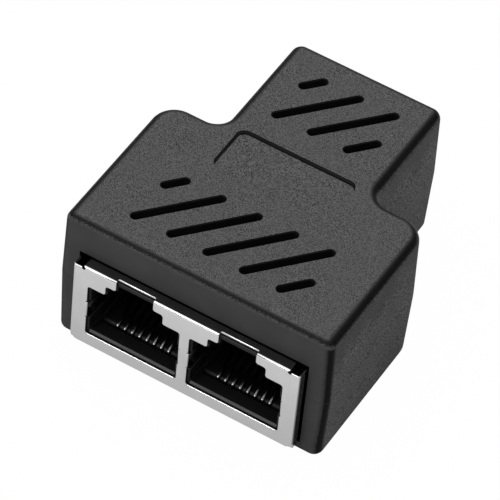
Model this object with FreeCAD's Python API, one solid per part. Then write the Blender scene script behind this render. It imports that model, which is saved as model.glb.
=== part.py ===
import FreeCAD, Part
import math
import os

# Network socket splitter: one shielded socket at the back feeds a twin
# socket at the front through a small circuit board in a two-part housing.
# Millimetres, +Z up. The sockets run along Y and the twin one faces -Y.
# The origin is under the middle of the part, on the surface it stands on.

os.makedirs("parts", exist_ok=True)

# Housing: a wide front block and a narrower neck behind it
block_margin = 3.0
neck_margin = 2.55
shoulder_depth = 23.0
neck_length = 17.6
head_room = 2.0
parting_height = 9.9
draft_angle = 1.6
side_wall = 1.4
floor_thickness = 1.6
top_wall = 1.5
front_corner_radius = 1.15
shoulder_radius = 3.5
throat_radius = 2.0
rear_corner_radius = 1.4
side_edge_radius = 1.05
front_edge_radius = 0.5
base_edge_radius = 0.8

# Joint between the two housing shells
tongue_height = 1.0
tongue_inset = 0.9
tongue_clearance = 0.1

# Slanted vents in the top, measured from the front face and from the shoulder
vent_width = 1.0
vent_pitch = 4.94
vent_angle = 49.5
front_vents_left = 10.78
front_vents_right = 11.02
front_vents_start = 4.46
front_vents_length = 8.04
front_vents_first = -11.085
rear_vents_left = 5.73
rear_vents_right = 6.35
rear_vents_start = 4.84
rear_vents_length = 7.97
rear_vents_first = -5.92

# Shallow bare panel between the vents
panel_width = 15.94
panel_start = 16.4
panel_length = 6.9
panel_corner = 1.0
panel_depth = 0.3

# Square pillars that clamp the board, each set in from the side of the block
# or of the neck, with its distance from the front or the rear face
pillar_side = 1.8
block_pillar_inset = 4.4
neck_pillar_inset = 3.75
front_pillar_place = 4.0
middle_pillar_place = 18.5
neck_pillar_place = 20.3
rear_pillar_place = 3.4

# Sockets
mouth_bridge = 1.37
shield_protrusion = 1.65
twin_shield_rim = 2.115
single_shield_rim = 1.7
sheet = 0.3
fold_radius = 0.3
window_gap = 0.2
fit_gap = 0.05

# Cavity of one socket, from the underside of the shield up: the plug's full
# width, a first step, then the slot of its latch
cavity_width = 11.94
cavity_bottom = 2.4
cavity_height = 7.7
cavity_step_width = 7.6
cavity_step_height = 1.5
cavity_latch_width = 4.9
cavity_latch_height = 0.9
cavity_roof = 0.9
cavity_depth = 12.4
lip_depth = 2.0
lip_chamfer = 0.27

# Mouth in the shield, set back from the cavity's edges by these margins
mouth_side_margin = 0.33
mouth_floor_margin = 0.35
mouth_top_margin = 0.15
step_side_margin = 0.1
step_top_margin = 0.17
latch_side_margin = 0.065
latch_setback = 0.6
mouth_corner = 0.35

# Folded edges of the shield
flange_length = 3.3
flange_end_gap = 1.4
relief_radius = 0.25
corner_chamfer = 0.85
finger_bottom = 4.9
finger_height = 2.5
finger_length = 3.6
finger_lean = 0.4
finger_bend = 0.2
finger_set_back = 0.07
finger_slit = 0.15
finger_notch = 0.25
ground_tab_place = 9.1
ground_tab_width = 1.8

# Plastic body of the sockets
corner_pocket_depth = 3.0
peg_radius = 1.6
peg_clearance = 0.05
peg_place = 9.1
peg_offset = 5.715
peg_flats = 8

# Contacts and the carrier that holds eight of them
contact_count = 8
contact_pitch = 1.016
contact_width = 0.45
contact_thickness = 0.35
contact_clearance = 0.05
contact_run_height = 0.95
contact_nose_place = 3.5
contact_nose_radius = 0.8
contact_nose_flats = 3
contact_rise_angle = 27.0
contact_end_gap = 0.5
tail_front_inset = 0.6
tail_row_pitch = 2.2
tail_length = 1.0
carrier_width = 11.2
carrier_depth = 3.4
carrier_back_gap = 0.3
comb_depth = 0.9
comb_bottom = 5.3
comb_height = 3.2
comb_rib = 0.4

# Circuit board
board_thickness = 1.6
board_clearance = 0.25
tail_hole_side = 0.7
tab_slot_gap = 0.15

# Worked out from the sizes above
cavity_top = cavity_bottom + cavity_height
cavity_step_top = cavity_top + cavity_step_height
cavity_latch_top = cavity_step_top + cavity_latch_height
mouth_width = cavity_width + 2 * mouth_side_margin
mouth_bottom = cavity_bottom - mouth_floor_margin
mouth_top = cavity_top + mouth_top_margin
step_width = cavity_step_width + 2 * step_side_margin
step_top = cavity_step_top + step_top_margin
latch_width = cavity_latch_width + 2 * latch_side_margin
shield_height = cavity_latch_top + cavity_roof
jack_depth = cavity_depth + carrier_depth + carrier_back_gap + sheet
contact_end_place = cavity_depth - contact_end_gap
tail_front_row = cavity_depth + tail_front_inset
port_pitch = mouth_width + mouth_bridge
single_shield_width = mouth_width + 2 * single_shield_rim
twin_shield_width = port_pitch + mouth_width + 2 * twin_shield_rim
block_width = twin_shield_width + 2 * block_margin
neck_width = single_shield_width + 2 * neck_margin
housing_length = shoulder_depth + neck_length
front_face = -housing_length / 2
rear_face = housing_length / 2
board_bottom = floor_thickness + shield_height
board_top = board_bottom + board_thickness
ceiling = board_top + head_room
housing_height = ceiling + top_wall
draft = math.tan(math.radians(draft_angle))
top_inset = (housing_height - parting_height) * draft
base_inset = parting_height * draft
cavity_inset = side_wall + max(top_inset, base_inset)
tail_rows = (tail_front_row, tail_front_row + tail_row_pitch)
twin_ports = (-port_pitch / 2, port_pitch / 2)
single_port = (0.0,)


def vec(x, y, z):
    return FreeCAD.Vector(x, y, z)


def box(x0, x1, y0, y1, z0, z1):
    return Part.makeBox(x1 - x0, y1 - y0, z1 - z0, vec(x0, y0, z0))


def rounded_wire(corners):
    # corners is a closed list of (point, radius); a radius of 0 stays sharp
    edges = []
    cuts = []
    count = len(corners)
    for i in range(count):
        point, radius = corners[i]
        to_last = (corners[i - 1][0] - point).normalize()
        to_next = (corners[(i + 1) % count][0] - point).normalize()
        if radius <= 0:
            cuts.append((point, point, None))
            continue
        half = to_last.getAngle(to_next) / 2
        reach = radius / math.tan(half)
        middle = (to_last + to_next).normalize()
        arc_point = point + middle * (radius / math.sin(half) - radius)
        cuts.append((point + to_last * reach, point + to_next * reach, arc_point))
    for i in range(count):
        start, end, arc_point = cuts[i]
        if arc_point is not None:
            edges.append(Part.Arc(start, arc_point, end).toShape())
        following = cuts[(i + 1) % count][0]
        if end.distanceToPoint(following) > 1e-6:
            edges.append(Part.LineSegment(end, following).toShape())
    return Part.Wire(edges)


def slab(corners, direction):
    return Part.Face(rounded_wire(corners)).extrude(direction)


def bent_strip(corners, thickness):
    # Side view of a strip: an open list of (place, height, radius) that its
    # middle line follows, given thickness to both sides and true bends
    points = [vec(0, place, height) for place, height, radius in corners]
    radii = [radius for place, height, radius in corners]
    sides = []
    for side in (thickness / 2, -thickness / 2):
        edges = []
        start = None
        for i in range(len(points) - 1):
            along = (points[i + 1] - points[i]).normalize()
            across = vec(0, -along.z, along.y) * side
            if start is None:
                start = points[i] + across
            if i + 2 < len(points):
                onward = (points[i + 2] - points[i + 1]).normalize()
                turn = along.getAngle(onward)
                reach = radii[i + 1] * math.tan(turn / 2)
                bend_start = points[i + 1] - along * reach
                bend_end = points[i + 1] + onward * reach
                inward = (onward - along).normalize()
                centre = points[i + 1] + inward * (radii[i + 1] / math.cos(turn / 2))
                onward_across = vec(0, -onward.z, onward.y) * side
                arc_start = bend_start + across
                arc_end = bend_end + onward_across
                if radii[i + 1] == 0:
                    shift = side * math.tan(turn / 2)
                    if inward.dot(across) * side < 0:
                        shift = -shift
                    corner = points[i + 1] + across - along * shift
                    edges.append(Part.LineSegment(start, corner).toShape())
                    start = corner
                    continue
                arc_radius = centre.distanceToPoint(arc_start)
                arc_point = centre - inward * arc_radius
                edges.append(Part.LineSegment(start, arc_start).toShape())
                edges.append(Part.Arc(arc_start, arc_point, arc_end).toShape())
                start = arc_end
            else:
                end = points[i + 1] + across
                edges.append(Part.LineSegment(start, end).toShape())
        sides.append((edges, edges[0].Vertexes[0].Point, end))
    caps = [
        Part.LineSegment(sides[0][1], sides[1][1]).toShape(),
        Part.LineSegment(sides[0][2], sides[1][2]).toShape(),
    ]
    loop = Part.__sortEdges__(sides[0][0] + sides[1][0] + caps)
    return Part.Face(Part.Wire(loop))


def peg(x, y, radius, low, high):
    # Upright peg, or the hole for one, with flats round it
    step = 2 * math.pi / peg_flats
    corner = radius / math.cos(step / 2)
    outline = [(vec(x + corner * math.cos(step * (i + 0.5)),
                    y + corner * math.sin(step * (i + 0.5)), low), 0)
               for i in range(peg_flats)]
    return slab(outline, vec(0, 0, high - low))


def save(shape, node):
    shape.exportStep("parts/" + node + ".step")


# Housing


def housing_outline(inset, front_inset, z, corner_radii=None):
    # Plan of the housing, pulled in by inset, with its rounded corners
    half_block = block_width / 2 - inset
    half_neck = neck_width / 2 - inset
    front = front_face + front_inset
    shoulder = front_face + shoulder_depth - inset
    rear = rear_face - inset
    if corner_radii is None:
        corner_radii = (
            front_corner_radius,
            shoulder_radius - inset,
            throat_radius + inset,
            rear_corner_radius - inset,
        )
    at_front, at_shoulder, at_throat, at_rear = corner_radii
    right = [
        (vec(half_block, front, z), at_front),
        (vec(half_block, shoulder, z), at_shoulder),
        (vec(half_neck, shoulder, z), at_throat),
        (vec(half_neck, rear, z), at_rear),
    ]
    left = [(vec(-point.x, point.y, z), radius) for point, radius in reversed(right)]
    return right + left


def drafted_form(end_height, end_inset):
    # Solid between the parting line and the top or the base
    widest = rounded_wire(housing_outline(0, 0, parting_height))
    narrowest = rounded_wire(housing_outline(end_inset, 0, end_height))
    return Part.makeLoft([widest, narrowest], True, True)


def inner_radii(inset):
    # Inside the wall the small corners are sharp and the large ones follow it
    return 0, shoulder_radius - inset, throat_radius + inset, 0


def inner_form(low, high):
    radii = inner_radii(side_wall)
    corners = housing_outline(cavity_inset, side_wall, low, radii)
    return slab(corners, vec(0, 0, high - low))


def tongue_ring(inset, height):
    # Ring round the inner half of the wall, standing on the parting plane
    corners = housing_outline(inset, inset, parting_height, inner_radii(inset))
    ring = slab(corners, vec(0, 0, height))
    return ring.cut(inner_form(parting_height - 1, parting_height + height + 1))


def lies_at(edge, height):
    bounds = edge.BoundBox
    return abs(bounds.ZMin - height) < 0.01 and abs(bounds.ZMax - height) < 0.01


def rounded_by(shape, radii_of):
    # radii_of gives an edge's radii at its two ends, or None to leave it sharp
    document = FreeCAD.newDocument("rounding")
    base = document.addObject("Part::Feature", "base")
    base.Shape = shape
    rounding = document.addObject("Part::Fillet", "rounding")
    rounding.Base = base
    chosen = []
    for number, edge in enumerate(base.Shape.Edges, 1):
        radii = radii_of(edge)
        if radii is not None:
            chosen.append((number, radii[0], radii[1]))
    rounding.Edges = chosen
    document.recompute()
    result = rounding.Shape.copy()
    FreeCAD.closeDocument(document.Name)
    return result


def top_radii(edge):
    # A crisp edge over the sockets grows softer round the two front corners
    if not lies_at(edge, housing_height):
        return None
    side = min(side_edge_radius, 0.95 * front_corner_radius)
    front = min(front_edge_radius, side)
    bounds = edge.BoundBox
    if bounds.YMax < front_face + 0.01:
        return front, front
    if bounds.YMin > front_face + 0.01:
        return side, side
    first = edge.valueAt(edge.FirstParameter)
    last = edge.valueAt(edge.LastParameter)
    return (front, side) if first.y < last.y else (side, front)


def base_radii(edge):
    radius = min(base_edge_radius, 0.95 * front_corner_radius)
    return (radius, radius) if lies_at(edge, 0) else None


def windows():
    # Holes in the front and rear walls that the shields stand in
    top = board_bottom + window_gap
    half_twin = twin_shield_width / 2 + window_gap
    half_single = single_shield_width / 2 + window_gap
    through = side_wall + max(top_inset, base_inset) + 1
    front = box(-half_twin, half_twin, front_face - 1, front_face + through,
                floor_thickness, top)
    rear = box(-half_single, half_single, rear_face - through, rear_face + 1,
               floor_thickness, top)
    return [front, rear]


def vent_field(left_reach, right_reach, start, length, first):
    # Slanted slots; the outer ones are cut short at the sides of their field
    slope = math.tan(math.radians(vent_angle))
    lean = length / slope
    radius = vent_width / 2
    vents = []
    place = first - vent_pitch * math.ceil((first + left_reach + lean) / vent_pitch)
    while place < right_reach:
        left = place if place > -left_reach - vent_width else -left_reach
        right = min(place + lean, right_reach)
        run = (right - left) / math.cos(math.radians(vent_angle))
        if run > vent_width:
            low = vec(left, front_face + start + (left - place) * slope, ceiling - 1)
            high = vec(right, front_face + start + (right - place) * slope, ceiling - 1)
            along = (high - low).normalize()
            across = vec(-along.y, along.x, 0) * radius
            outline = Part.Wire([
                Part.LineSegment(low + across, high + across).toShape(),
                Part.Arc(high + across, high + along * radius, high - across).toShape(),
                Part.LineSegment(high - across, low - across).toShape(),
                Part.Arc(low - across, low - along * radius, low + across).toShape(),
            ])
            vents.append(Part.Face(outline).extrude(vec(0, 0, top_wall + 2)))
        place += vent_pitch
    return vents


def panel_recess():
    half = panel_width / 2
    start = front_face + panel_start
    floor = housing_height - panel_depth
    corners = [
        (vec(-half, start, floor), panel_corner),
        (vec(half, start, floor), panel_corner),
        (vec(half, start + panel_length, floor), panel_corner),
        (vec(-half, start + panel_length, floor), panel_corner),
    ]
    return slab(corners, vec(0, 0, panel_depth + 1))


def pillars(places, low, high):
    shapes = []
    for x, depth in places:
        for side in (-1, 1):
            y = front_face + depth
            half = pillar_side / 2
            shapes.append(box(side * x - half, side * x + half, y - half, y + half,
                              low, high))
    return shapes


def upper_shell():
    form = rounded_by(drafted_form(housing_height, top_inset), top_radii)
    form = form.cut(inner_form(parting_height - 1, ceiling))
    form = form.cut(tongue_ring(tongue_inset - tongue_clearance,
                                tongue_height + tongue_clearance))
    cutters = windows() + [panel_recess()]
    cutters += vent_field(front_vents_left, front_vents_right, front_vents_start,
                          front_vents_length, front_vents_first)
    cutters += vent_field(rear_vents_left, rear_vents_right,
                          shoulder_depth + rear_vents_start,
                          rear_vents_length, rear_vents_first)
    form = form.cut(cutters)
    block_side = block_width / 2 - block_pillar_inset
    neck_side = neck_width / 2 - neck_pillar_inset
    places = [(block_side, front_pillar_place), (block_side, middle_pillar_place),
              (neck_side, neck_pillar_place),
              (neck_side, housing_length - rear_pillar_place)]
    return form.fuse(pillars(places, board_top, ceiling + 0.5)).removeSplitter()


def lower_shell():
    form = rounded_by(drafted_form(0, base_inset), base_radii)
    form = form.cut(inner_form(floor_thickness, parting_height + 1))
    form = form.fuse(tongue_ring(tongue_inset, tongue_height))
    form = form.cut(windows())
    neck_side = neck_width / 2 - neck_pillar_inset
    posts = pillars([(neck_side, neck_pillar_place)],
                    floor_thickness - 0.5, board_bottom)
    return form.fuse(posts).removeSplitter()


# Sockets, modelled in a frame of their own: x across, y from the outer face
# of the shield plate into the socket, z up from the underside of the shield


def in_front(shape):
    place = vec(0, front_face - shield_protrusion, floor_thickness)
    shape.translate(place)
    return shape


def in_rear(shape):
    shape.rotate(vec(0, 0, 0), vec(0, 0, 1), 180)
    shape.translate(vec(0, rear_face + shield_protrusion, floor_thickness))
    return shape


def keyed_profile(port, bottom, top, full, step, step_height, latch, latch_height,
                  place, corner):
    # Front view of a socket: full width, a first step, then the latch slot
    half = [full / 2, step / 2, latch / 2]
    right = [
        (vec(port + half[0], place, bottom), corner),
        (vec(port + half[0], place, top), corner),
        (vec(port + half[1], place, top), corner),
        (vec(port + half[1], place, step_height), corner),
        (vec(port + half[2], place, step_height), corner),
        (vec(port + half[2], place, latch_height), 0),
    ]
    left = [(vec(2 * port - point.x, place, point.z), radius)
            for point, radius in reversed(right)]
    return right + left


def finger(port, side):
    # Earthing spring: bent out of the plate beside the mouth, back into the socket
    edge = mouth_width / 2
    strip = bent_strip([
        (edge + 3 * sheet, sheet / 2, 0),
        (edge + finger_set_back, sheet / 2, finger_bend),
        (edge - finger_lean, finger_length, 0),
        (edge - sheet, finger_length + 2 * sheet, 0),
    ], sheet)
    spring = strip.extrude(vec(finger_height, 0, 0))
    # Turn the strip's side view into a plan view
    spring.rotate(vec(0, 0, 0), vec(1, 1, 1), -120)
    if side < 0:
        spring = spring.mirror(vec(0, 0, 0), vec(1, 0, 0))
    spring.translate(vec(port, 0, finger_bottom))
    return spring


def finger_gap(port, side):
    # Notch that frees the spring's root, with a slit above and below it
    edge = port + side * mouth_width / 2
    low = min(edge - side * 0.1, edge + side * finger_notch)
    high = max(edge - side * 0.1, edge + side * finger_notch)
    return box(low, high, -1, sheet + 0.1, finger_bottom - finger_slit,
               finger_bottom + finger_height + finger_slit)


def shield(width, ports):
    half = width / 2
    hull = box(-half, half, 0, jack_depth, 0, shield_height)
    folds = []
    for edge in hull.Edges:
        bounds = edge.BoundBox
        if bounds.YMax < 0.01:
            folds.append(edge)
    hull = hull.makeFillet(fold_radius, folds)
    inside = box(-half + sheet, half - sheet, sheet, jack_depth - sheet,
                 sheet, shield_height - sheet)
    open_top = box(-half + sheet, half - sheet, flange_length, jack_depth - sheet,
                   sheet, shield_height + 1)
    cutters = [inside, open_top]
    fold_line = shield_height - fold_radius
    for side in (-1, 1):
        relief = side * (half - flange_end_gap)
        outer = side * (half + 1)
        cutters.append(box(min(relief, outer), max(relief, outer),
                           -1, flange_length, fold_line, shield_height + 1))
        cutters.append(Part.makeCylinder(relief_radius, sheet + 1,
                                         vec(relief, -0.5, fold_line), vec(0, 1, 0)))
        corner = side * half
        chamfer = [
            (vec(corner + side, -1, -1), 0),
            (vec(corner - side * (corner_chamfer + 1), -1, -1), 0),
            (vec(corner + side, -1, corner_chamfer + 1), 0),
        ]
        cutters.append(slab(chamfer, vec(0, 1 + fold_radius, 0)))
    for port in ports:
        mouth = keyed_profile(port, mouth_bottom, mouth_top, mouth_width, step_width,
                              step_top, latch_width, shield_height + 1, -1, mouth_corner)
        cutters.append(slab(mouth, vec(0, 1 + sheet + 0.1, 0)))
        cutters.append(box(port - latch_width / 2, port + latch_width / 2, -1,
                           latch_setback, step_top + 1, shield_height + 1))
        cutters += [finger_gap(port, -1), finger_gap(port, 1)]
    metal = hull.cut(cutters)
    extras = []
    for port in ports:
        extras += [finger(port, -1), finger(port, 1)]
    for side in (-1, 1):
        low = min(side * half, side * (half - sheet))
        extras.append(box(low, low + sheet, ground_tab_place - ground_tab_width / 2,
                          ground_tab_place + ground_tab_width / 2, shield_height - 1,
                          shield_height + board_thickness + tail_length))
    return metal.fuse(extras).removeSplitter()


def peg_places(ports):
    # One locating peg beside each outer port
    return (min(ports) - peg_offset, max(ports) + peg_offset)


def jack_body(width, ports):
    half = width / 2 - sheet - fit_gap
    front = sheet + fit_gap
    back = jack_depth - sheet - fit_gap
    form = box(-half, half, front, back, sheet, shield_height)
    cutters = [box(-half - 1, half + 1, 0, flange_length + fit_gap,
                   shield_height - sheet - fit_gap, shield_height + 1)]
    for port in ports:
        mouth = keyed_profile(port, cavity_bottom, cavity_top, cavity_width,
                              cavity_step_width, cavity_step_top, cavity_latch_width,
                              cavity_latch_top, 0, 0)
        cutters.append(slab(mouth, vec(0, cavity_depth, 0)))
        bay = carrier_width / 2 + fit_gap
        cutters.append(box(port - bay, port + bay, front + lip_depth, jack_depth,
                           0, cavity_bottom + 0.5))
        cutters.append(box(port - bay, port + bay, cavity_depth - 0.5, jack_depth,
                           0, cavity_latch_top + fit_gap))
        tails = tail_front_row - contact_thickness / 2 - fit_gap
        cutters.append(box(port - bay, port + bay, tails, jack_depth,
                           0, shield_height + 1))
        edge = cavity_width / 2
        slope = [
            (vec(port - edge, front - 1, cavity_bottom - lip_chamfer - 1), 0),
            (vec(port - edge, front - 1, cavity_bottom + 1), 0),
            (vec(port - edge, front + lip_chamfer + 1, cavity_bottom + 1), 0),
        ]
        cutters.append(slab(slope, vec(cavity_width, 0, 0)))
        pocket = mouth_width / 2 + sheet + 2 * fit_gap
        cutters.append(box(port - pocket, port + pocket, 0,
                           finger_length + 4 * sheet,
                           finger_bottom - sheet, finger_bottom + finger_height + sheet))
    for side in (-1, 1):
        pocket = width / 2 - flange_end_gap - relief_radius
        cutters.append(box(min(side * pocket, side * width), max(side * pocket, side * width),
                           0, flange_length, shield_height - corner_pocket_depth,
                           shield_height + 1))
    form = form.cut(cutters)
    pegs = [peg(x, peg_place, peg_radius, shield_height - sheet,
                shield_height + board_thickness)
            for x in peg_places(ports)]
    return form.fuse(pegs).removeSplitter()


def contact_places(port):
    # x of each contact and the place of the tail row that it belongs to
    first = port - contact_pitch * (contact_count - 1) / 2
    return [(first + contact_pitch * i, tail_rows[i % 2]) for i in range(contact_count)]


def nose_flats():
    # Corners of the flats that the contact's bend round the nose is pressed in
    turn = math.pi - math.radians(contact_rise_angle)
    step = turn / contact_nose_flats
    reach = contact_nose_radius / math.cos(step / 2)
    height = contact_run_height + contact_nose_radius
    corners = []
    for i in range(contact_nose_flats):
        angle = step * (i + 0.5)
        corners.append((contact_nose_place - reach * math.sin(angle),
                        height - reach * math.cos(angle), 0))
    return corners


def contact(x, tail_place):
    rise = math.radians(contact_rise_angle)
    last_place, last_height, last_radius = nose_flats()[-1]
    end_height = last_height + (contact_end_place - last_place) * math.tan(rise)
    side_view = bent_strip([
        (tail_place, shield_height + board_thickness + tail_length, 0),
        (tail_place, contact_run_height, 0),
        *nose_flats(),
        (contact_end_place, end_height, 0),
    ], contact_thickness)
    strip = side_view.extrude(vec(contact_width, 0, 0))
    strip.translate(vec(x - contact_width / 2, 0, 0))
    return strip


def carrier(port):
    gap = contact_thickness / 2 + contact_clearance
    half = carrier_width / 2
    nose = contact_nose_radius - gap
    nose_height = contact_run_height + contact_nose_radius
    floor_top = nose_height + nose
    back = cavity_depth + carrier_depth
    edges = [
        Part.LineSegment(vec(0, contact_nose_place, sheet + fit_gap),
                         vec(0, back, sheet + fit_gap)),
        Part.LineSegment(vec(0, back, sheet + fit_gap), vec(0, back, cavity_latch_top)),
        Part.LineSegment(vec(0, back, cavity_latch_top),
                         vec(0, cavity_depth, cavity_latch_top)),
        Part.LineSegment(vec(0, cavity_depth, cavity_latch_top),
                         vec(0, cavity_depth, floor_top)),
        Part.LineSegment(vec(0, cavity_depth, floor_top),
                         vec(0, contact_nose_place, floor_top)),
        Part.Arc(vec(0, contact_nose_place, floor_top),
                 vec(0, contact_nose_place - nose, nose_height),
                 vec(0, contact_nose_place, nose_height - nose)),
        Part.LineSegment(vec(0, contact_nose_place, nose_height - nose),
                         vec(0, contact_nose_place, sheet + fit_gap)),
    ]
    side_view = Part.Face(Part.Wire([edge.toShape() for edge in edges]))
    form = side_view.extrude(vec(2 * half, 0, 0))
    form.translate(vec(port - half, 0, 0))
    comb = []
    for i in range(contact_count + 1):
        x = port + contact_pitch * (i - contact_count / 2)
        comb.append(box(x - comb_rib / 2, x + comb_rib / 2, cavity_depth - comb_depth,
                        cavity_depth + 0.1, comb_bottom, comb_bottom + comb_height))
    grooves = []
    reach = contact_width / 2 + contact_clearance
    for x, tail_place in contact_places(port):
        outline = [
            (vec(x - reach, contact_nose_place - 2, -1), 0),
            (vec(x - reach, back + 1, -1), 0),
            (vec(x - reach, back + 1, cavity_latch_top + 1), 0),
            (vec(x - reach, tail_place - gap, cavity_latch_top + 1), 0),
            (vec(x - reach, tail_place - gap, contact_run_height + gap), 0),
            (vec(x - reach, contact_nose_place - 2, contact_run_height + gap), 0),
        ]
        grooves.append(slab(outline, vec(2 * reach, 0, 0)))
    return form.fuse(comb).cut(grooves).removeSplitter()


# Circuit board


def board_holes(width, ports):
    # Holes for tails, pegs and earthing tabs under one socket, in its own frame
    low = shield_height - 1
    tall = board_thickness + 2
    holes = []
    for port in ports:
        for x, tail_place in contact_places(port):
            half = tail_hole_side / 2
            holes.append(box(x - half, x + half, tail_place - half, tail_place + half,
                             low, low + tall))
    for x in peg_places(ports):
        holes.append(peg(x, peg_place, peg_radius + peg_clearance, low, low + tall))
    for side in (-1, 1):
        middle = side * (width / 2 - sheet / 2)
        reach = sheet / 2 + tab_slot_gap
        holes.append(box(middle - reach, middle + reach,
                         ground_tab_place - ground_tab_width / 2 - tab_slot_gap,
                         ground_tab_place + ground_tab_width / 2 + tab_slot_gap,
                         low, low + tall))
    return Part.makeCompound(holes)


def circuit_board():
    inset = cavity_inset + board_clearance
    radii = (0, shoulder_radius - side_wall, 0, 0)
    corners = housing_outline(inset, side_wall + board_clearance, board_bottom, radii)
    board = slab(corners, vec(0, 0, board_thickness))
    holes = [in_front(board_holes(twin_shield_width, twin_ports)),
             in_rear(board_holes(single_shield_width, single_port))]
    return board.cut(holes)


def build():
    save(upper_shell(), "upper_shell")
    save(lower_shell(), "lower_shell")
    save(in_front(shield(twin_shield_width, twin_ports)), "front_shield")
    save(in_rear(shield(single_shield_width, single_port)), "rear_shield")
    save(in_front(jack_body(twin_shield_width, twin_ports)), "front_jack_body")
    save(in_rear(jack_body(single_shield_width, single_port)), "rear_jack_body")
    save(circuit_board(), "circuit_board")
    sockets = (
        ("left", twin_ports[0], in_front),
        ("right", twin_ports[1], in_front),
        ("rear", single_port[0], in_rear),
    )
    for name, port, placed in sockets:
        save(placed(carrier(port)), "contact_carrier_" + name)
        for number, (x, tail_place) in enumerate(contact_places(port), 1):
            node = "contact_" + name + "_" + str(number)
            save(placed(contact(x, tail_place)), node)


build()
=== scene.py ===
import bmesh
import bpy
import contextlib
import math
from mathutils import Matrix, Vector


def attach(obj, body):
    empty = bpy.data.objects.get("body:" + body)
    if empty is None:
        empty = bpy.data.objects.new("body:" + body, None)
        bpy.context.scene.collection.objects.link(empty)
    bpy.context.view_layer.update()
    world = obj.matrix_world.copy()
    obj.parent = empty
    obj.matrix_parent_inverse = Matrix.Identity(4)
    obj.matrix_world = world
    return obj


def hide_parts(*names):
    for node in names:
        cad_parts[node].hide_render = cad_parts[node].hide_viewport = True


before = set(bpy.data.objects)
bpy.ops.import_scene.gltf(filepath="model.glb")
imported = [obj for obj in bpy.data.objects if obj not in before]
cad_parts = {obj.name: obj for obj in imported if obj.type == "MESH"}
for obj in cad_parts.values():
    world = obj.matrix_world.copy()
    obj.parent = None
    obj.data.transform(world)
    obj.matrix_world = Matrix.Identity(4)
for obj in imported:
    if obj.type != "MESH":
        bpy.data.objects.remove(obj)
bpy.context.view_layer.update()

# Sizes of the part in millimetres, as its drawing gives them
mm = 0.001
block_width, neck_width, housing_length = 36.8, 21.1, 40.6
shoulder_depth, housing_height, parting_height = 23.0, 20.1, 9.9
side_wall, floor_thickness, ceiling = 1.4, 1.6, 18.6
draft = math.tan(math.radians(1.6))
tongue_inset, tongue_height, tongue_clearance = 0.9, 1.0, 0.1
board_bottom, board_top = 15.0, 16.6
front_face, rear_face = -housing_length / 2, housing_length / 2
top_inset = (housing_height - parting_height) * draft
base_inset = parting_height * draft
cavity_inset = side_wall + max(top_inset, base_inset)
pillar_side, middle_pillar = 1.8, (6.8, 20.3)
board_pillars = [(14.0, 4.0), (14.0, 18.5), middle_pillar, (6.8, 37.2)]

# Radii of the moulding, a little softer than in the drawing
front_corner, shoulder_corner, throat_corner, rear_corner = 1.3, 3.5, 2.0, 1.65
side_edge, front_edge, base_edge, parting_edge = 1.3, 1.1, 0.8, 0.05
edge_steps = 10

vent_width, vent_pitch, vent_angle = 1.0, 4.94, 49.5
vent_rim, vent_depth, vent_above = 0.14, 2.5, 0.6
front_vents = {"left": 10.78, "right": 11.02, "start": 4.46, "length": 8.04,
               "first": -11.085}
rear_vents = {"left": 5.73, "right": 6.35, "start": 27.84, "length": 7.97,
              "first": -5.92}
panel_width, panel_start, panel_length = 15.94, 16.4, 6.9
panel_corner, panel_depth, panel_rim, panel_far_rim = 1.0, 0.3, 0.05, 0.40
# Height over the surface, and share of the rim's width there
panel_profile = [(-panel_depth, 0.0), (-0.14, 0.15), (-0.02, 0.92), (0.0, 1.0), (0.5, 1.0)]

port_pitch, shield_protrusion, shield_height, jack_depth = 13.97, 1.65, 13.4, 16.4
twin_width, single_width, sheet, fold = 30.8, 16.0, 0.3, 0.3
fold_line = shield_height - fold
window_gap = 0.2
mouth_width, mouth_bottom, mouth_top, mouth_corner = 12.6, 2.05, 10.25, 0.35
step_width, step_top, latch_width, latch_setback = 7.8, 11.77, 5.03, 0.6
flange_length, flange_end_gap, relief_radius, corner_chamfer = 3.3, 1.4, 0.25, 0.85
finger_bottom, finger_height, finger_length, finger_lean = 4.9, 2.5, 3.6, 0.4
finger_bend, finger_set_back, finger_slit, finger_notch = 0.2, 0.07, 0.15, 0.15
tip_step, finger_edge, punched_edge, pressed_in = 0.12, 0.05, 0.12, 0.02
tab_place, tab_width, tab_top = 9.1, 1.8, 16.0
jack_edge, carrier_edge, board_edge = 0.06, 0.03, 0.04

contact_count, contact_pitch = 8, 1.016
contact_width, contact_thickness, contact_edge = 0.45, 0.35, 0.14
run_height, nose_place, nose_radius, rise_angle, end_place = 0.95, 3.5, 0.8, 27.0, 11.9
tail_row, tail_row_pitch, tail_end, tail_bend, tail_foot = 13.0, 2.2, 16.0, 0.4, 0.6
# What is set back with a tail: all this near to it, and the end of the run below
tail_reach, run_reach, run_top = 0.5, 1.2, 2.4

# How far a cutter reaches past what it cuts, and past the far side of the sheet
past, past_sheet = 1.0, 0.1
sharp_angle, crease_angle = math.radians(35), math.radians(38)

# The camera, fitted to the photograph
camera_angle, camera_height, camera_roll = 0.4625, 0.8378, 0.1089
camera_focus = (-0.6862, 2.3378, 486.0876)
camera_target, camera_lens = (0.0, -5.3, 8.0), 294.07


# Materials


def put(tree, socket, term):
    # Links what another node gives, and writes down what is a plain value
    if hasattr(term, "links"):
        tree.links.new(term, socket)
    else:
        socket.default_value = term


def fill(tree, made, terms):
    for label, term in terms.items():
        put(tree, made.inputs[label], term)


def node(tree, kind, terms=None, **settings):
    made = tree.nodes.new(kind)
    for key, setting in settings.items():
        setattr(made, key, setting)
    fill(tree, made, terms or {})
    return made


def value(tree, operation, *terms):
    made = node(tree, "ShaderNodeMath", operation=operation)
    for socket, term in zip(made.inputs, terms):
        put(tree, socket, term)
    return made.outputs[0]


def ramp_between(tree, source, low, high, from_value=0.0, to_value=1.0,
                 curve="SMOOTHSTEP"):
    terms = {"Value": source, "From Min": low, "From Max": high,
             "To Min": from_value, "To Max": to_value}
    return node(tree, "ShaderNodeMapRange", terms,
                interpolation_type=curve).outputs["Result"]


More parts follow.
